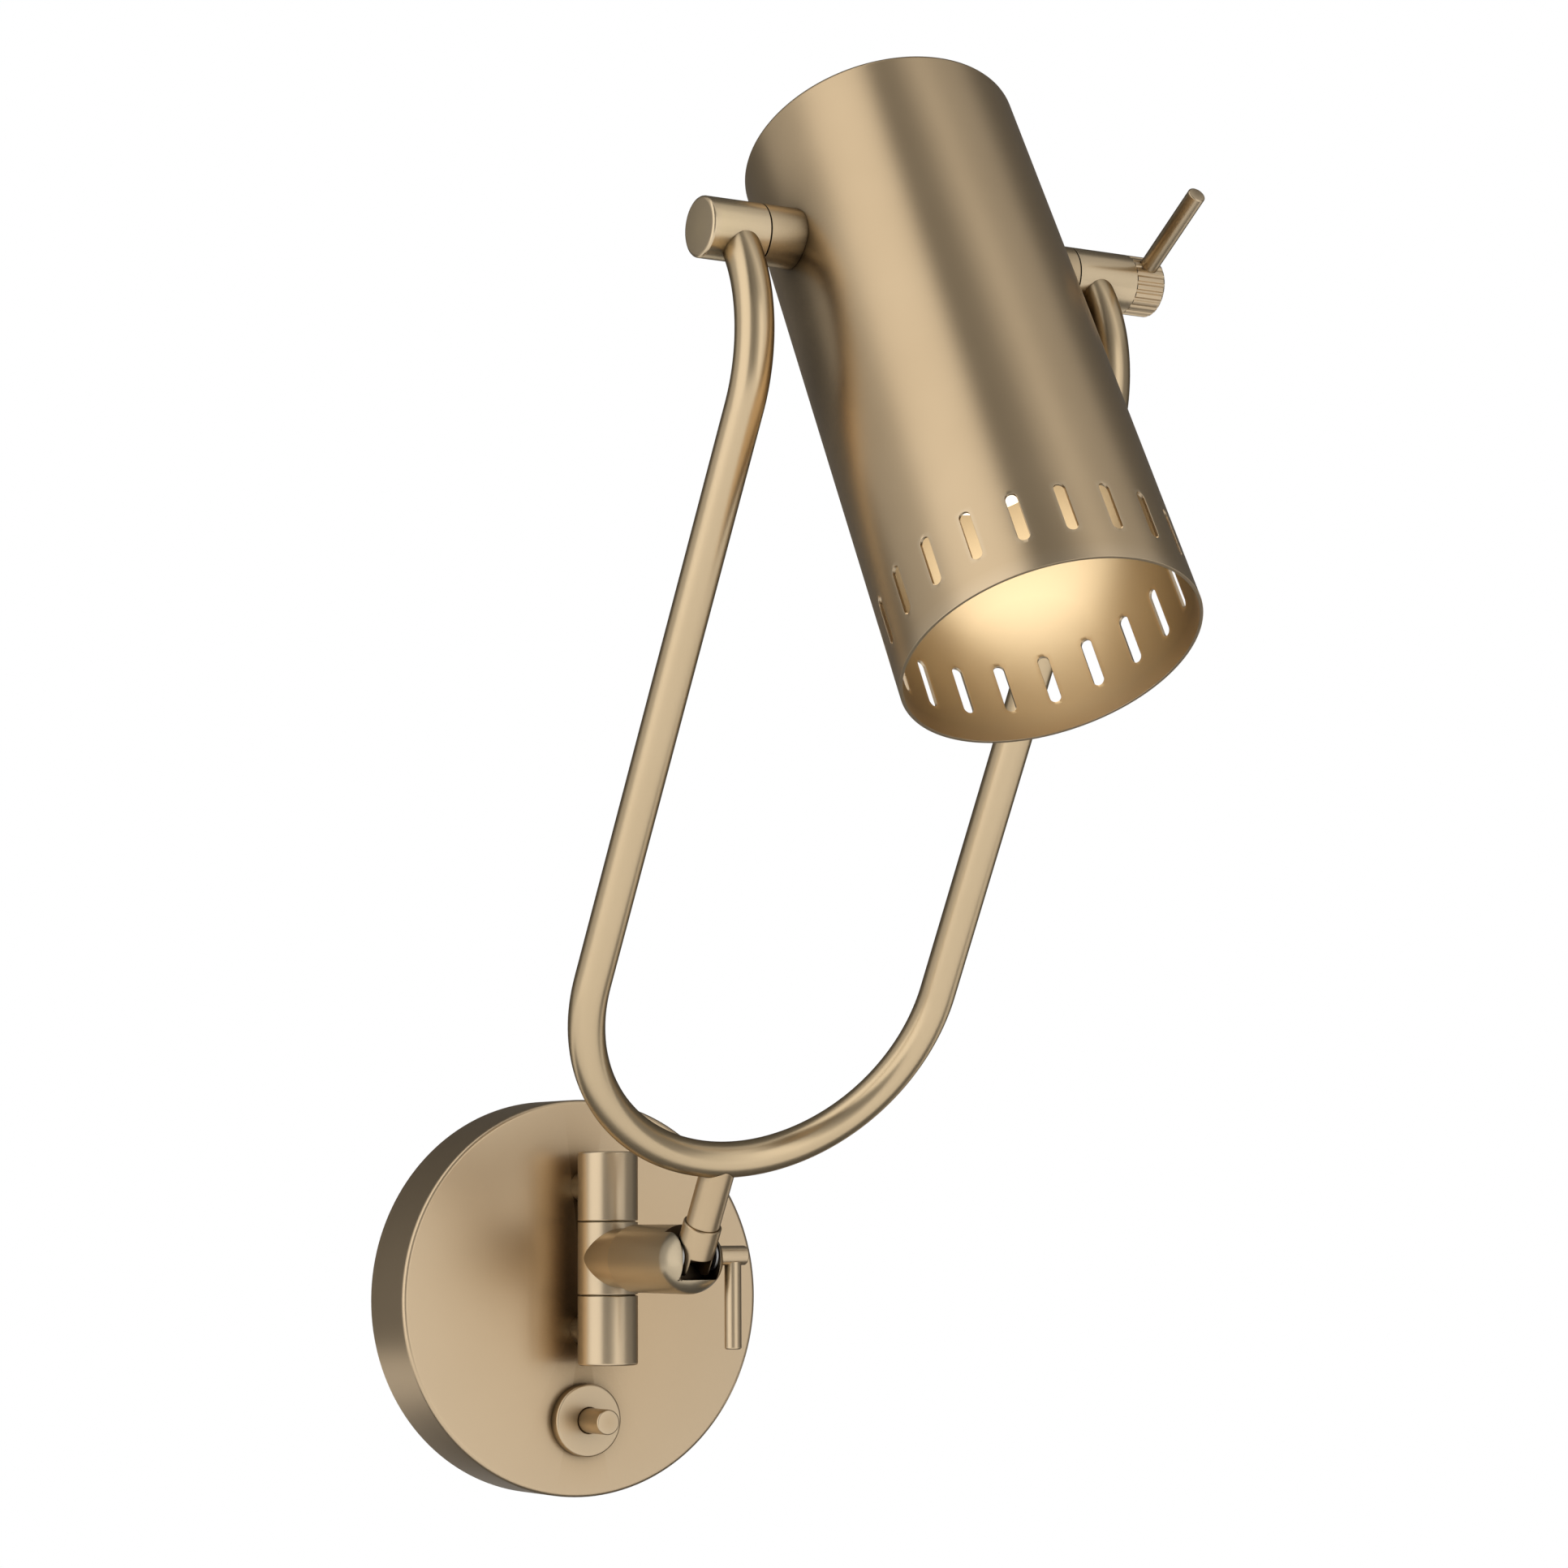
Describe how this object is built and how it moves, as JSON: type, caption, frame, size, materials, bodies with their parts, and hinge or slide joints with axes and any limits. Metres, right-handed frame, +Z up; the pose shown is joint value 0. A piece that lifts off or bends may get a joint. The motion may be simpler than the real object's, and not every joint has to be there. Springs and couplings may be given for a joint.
{
  "type": "swing arm wall lamp",
  "caption": "Wall lamp with a round backplate, a vertical swing hinge, a clamped elbow, a U-shaped tube yoke and a slotted tubular shade that tilts between the yoke's ends.",
  "frame": {"origin": "centre of the backplate on the wall plane, which is the middle of the junction box's two screws", "axes": "+Z up, -Y out of the wall into the room, +X to the right of someone who faces the wall"},
  "size_m": [0.1513, 0.3363, 0.4144],
  "materials": {
    "satin_brass": "satin, brushed along each piece, warm antique tone",
    "zinc_steel": "dull zinc plate",
    "washer_brass": "plain rolled strip",
    "green_screw": "green lacquer",
    "black_plastic": "moulded, matt",
    "green_lead": "extruded sleeve",
    "white_lead": "extruded sleeve",
    "orange_cap": "moulded, matt",
    "porcelain": "white glaze",
    "frosted_glass": "frosted inside, lit warm white"
  },
  "bodies": {
    "wall_plate": {"canopy_shell": "satin_brass", "mounting_bracket": "zinc_steel", "canopy_grub_screws": "zinc_steel", "earth_screw": "green_screw", "upper_knuckle": "satin_brass", "lower_knuckle": "satin_brass", "post_nuts": "zinc_steel", "swing_pin": "zinc_steel", "swing_washers": "washer_brass", "switch_body": "black_plastic", "switch_collar": "satin_brass", "switch_lock_nut": "zinc_steel", "wire_connectors": "orange_cap", "live_lead": "black_plastic", "switched_lead": "black_plastic", "neutral_lead": "white_lead", "earth_lead": "green_lead"},
    "button": {"switch_button": "satin_brass"},
    "swing_head": {"swing_knuckle": "satin_brass", "elbow": "satin_brass"},
    "elbow_clamp": {"clamp_screw": "satin_brass", "clamp_rod": "satin_brass"},
    "arm": {"foot_washers": "zinc_steel", "arm_foot": "satin_brass", "arm_stem": "satin_brass", "yoke_tube": "satin_brass", "yoke_lead": "black_plastic", "left_pivot_barrel": "satin_brass", "left_end_cap": "satin_brass", "right_pivot_barrel": "satin_brass", "pivot_washers": "black_plastic"},
    "shade": {"left_boss": "satin_brass", "right_boss": "satin_brass", "pivot_nipple": "zinc_steel", "pivot_bolt": "zinc_steel", "pivot_nuts": "zinc_steel", "shade_shell": "satin_brass", "holder_strap": "zinc_steel", "holder_nut": "zinc_steel", "lamp_holder": "porcelain", "lamp_leads": "white_lead", "bulb_cap": "zinc_steel", "bulb_glass": "frosted_glass"},
    "shade_clamp": {"fluted_knob": "satin_brass", "clamp_lever": "satin_brass"}
  },
  "joints": [
    {"name": "swing", "type": "hinge", "parent": "wall_plate", "child": "swing_head", "pos_m": [0, -0.0419, 0.0127], "axis": [0, 0, 1], "range_deg": [-75, 75]},
    {"name": "button_press", "type": "slide", "parent": "wall_plate", "child": "button", "axis": [0, 1, 0], "range_m": [0, 0.003], "stiffness_N_per_m": 600, "springref_m": -0.001},
    {"name": "elbow_clamp_turn", "type": "hinge", "parent": "swing_head", "child": "elbow_clamp", "pos_m": [0, -0.0992, 0.0138], "axis": [1, 0, 0], "range_deg": [-90, 90]},
    {"name": "arm_tilt", "type": "hinge", "parent": "swing_head", "child": "arm", "pos_m": [0, -0.0992, 0.0138], "axis": [1, 0, 0], "range_deg": [-33, 68]},
    {"name": "shade_tilt", "type": "hinge", "parent": "arm", "child": "shade", "pos_m": [0, -0.23199, 0.29729], "axis": [1, 0, 0], "range_deg": [-115, 65]},
    {"name": "shade_clamp_turn", "type": "hinge", "parent": "shade", "child": "shade_clamp", "pos_m": [0, -0.23199, 0.29729], "axis": [1, 0, 0], "range_deg": [-60, 60]}
  ]
}
